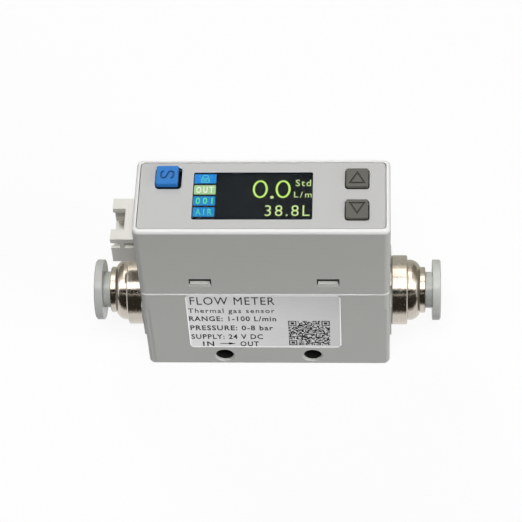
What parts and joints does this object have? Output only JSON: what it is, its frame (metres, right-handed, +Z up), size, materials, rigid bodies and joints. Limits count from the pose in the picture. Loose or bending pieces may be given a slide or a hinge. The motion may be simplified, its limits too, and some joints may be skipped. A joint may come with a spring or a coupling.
{
  "type": "thermal mass flow meter",
  "caption": "Compact in-line gas flow meter: block housing with a colour display and push buttons on top, a side connector and push-in tube fittings at both ends.",
  "frame": {"origin": "middle of the flat underside of the flow body", "axes": "+X along the flow from inlet to outlet, +Y to the back, +Z up towards the display"},
  "size_m": [0.0678, 0.0176, 0.0435],
  "materials": {
    "housing_grey": "fine satin moulding, light warm grey",
    "plate_grey": "smooth satin grey",
    "window_clear": "clear polished window",
    "screen_black": "glossy dark screen",
    "cap_blue": "smooth satin blue",
    "cap_grey": "smooth satin dark grey",
    "label_silver": "brushed silver foil with black print",
    "plated_brass": "polished nickel plate on turned brass",
    "sleeve_grey": "smooth moulded light grey",
    "connector_white": "natural off-white nylon",
    "pin_gold": "tinned contact",
    "board_green": "solder mask",
    "holder_white": "satin",
    "moulded_black": "satin",
    "plunger_ivory": "satin",
    "can_aluminium": "satin",
    "steel_small": "bright",
    "seal_black": "matte",
    "restrictor_white": "satin"
  },
  "bodies": {
    "root": {"upper_cover": "housing_grey", "flow_body": "housing_grey", "face_plate": "plate_grey", "display_lens": "window_clear", "display_screen": "screen_black", "label": "label_silver", "inlet_fitting": "plated_brass", "outlet_fitting": "plated_brass", "inlet_guide_ring": "plated_brass", "outlet_guide_ring": "plated_brass", "connector_header": "connector_white", "connector_pins": "pin_gold", "display_board": "board_green", "main_board": "board_green", "sensor_board": "board_green", "screen_holder": "holder_white", "set_switch": "moulded_black", "up_switch": "moulded_black", "down_switch": "moulded_black", "processor_chip": "moulded_black", "power_regulator": "moulded_black", "display_link": "moulded_black", "sensor_link": "moulded_black", "sensor_chip": "moulded_black", "supply_capacitor": "can_aluminium", "display_screws": "steel_small", "main_board_screws": "steel_small", "sensor_screws": "steel_small", "inlet_grip_claw": "steel_small", "outlet_grip_claw": "steel_small", "inlet_mesh_disc": "steel_small", "outlet_mesh_disc": "steel_small", "inlet_o_ring": "seal_black", "outlet_o_ring": "seal_black", "inlet_tube_seal": "seal_black", "outlet_tube_seal": "seal_black", "sensor_gasket": "seal_black", "flow_restrictor": "restrictor_white"},
    "set_button_body": {"set_button": "cap_blue", "set_plunger": "plunger_ivory"},
    "up_button_body": {"up_button": "cap_grey", "up_plunger": "plunger_ivory"},
    "down_button_body": {"down_button": "cap_grey", "down_plunger": "plunger_ivory"},
    "inlet_sleeve_body": {"inlet_release_sleeve": "sleeve_grey"},
    "outlet_sleeve_body": {"outlet_release_sleeve": "sleeve_grey"}
  },
  "joints": [
    {"name": "set_press", "type": "slide", "parent": "root", "child": "set_button_body", "axis": [0, 0, -1], "range_m": [0, 0.0003], "stiffness_N_per_m": 2000},
    {"name": "up_press", "type": "slide", "parent": "root", "child": "up_button_body", "axis": [0, 0, -1], "range_m": [0, 0.0003], "stiffness_N_per_m": 2000},
    {"name": "down_press", "type": "slide", "parent": "root", "child": "down_button_body", "axis": [0, 0, -1], "range_m": [0, 0.0003], "stiffness_N_per_m": 2000},
    {"name": "inlet_release", "type": "slide", "parent": "root", "child": "inlet_sleeve_body", "axis": [1, 0, 0], "range_m": [0, 0.0012], "stiffness_N_per_m": 1000},
    {"name": "outlet_release", "type": "slide", "parent": "root", "child": "outlet_sleeve_body", "axis": [-1, 0, 0], "range_m": [0, 0.0012], "stiffness_N_per_m": 1000}
  ]
}
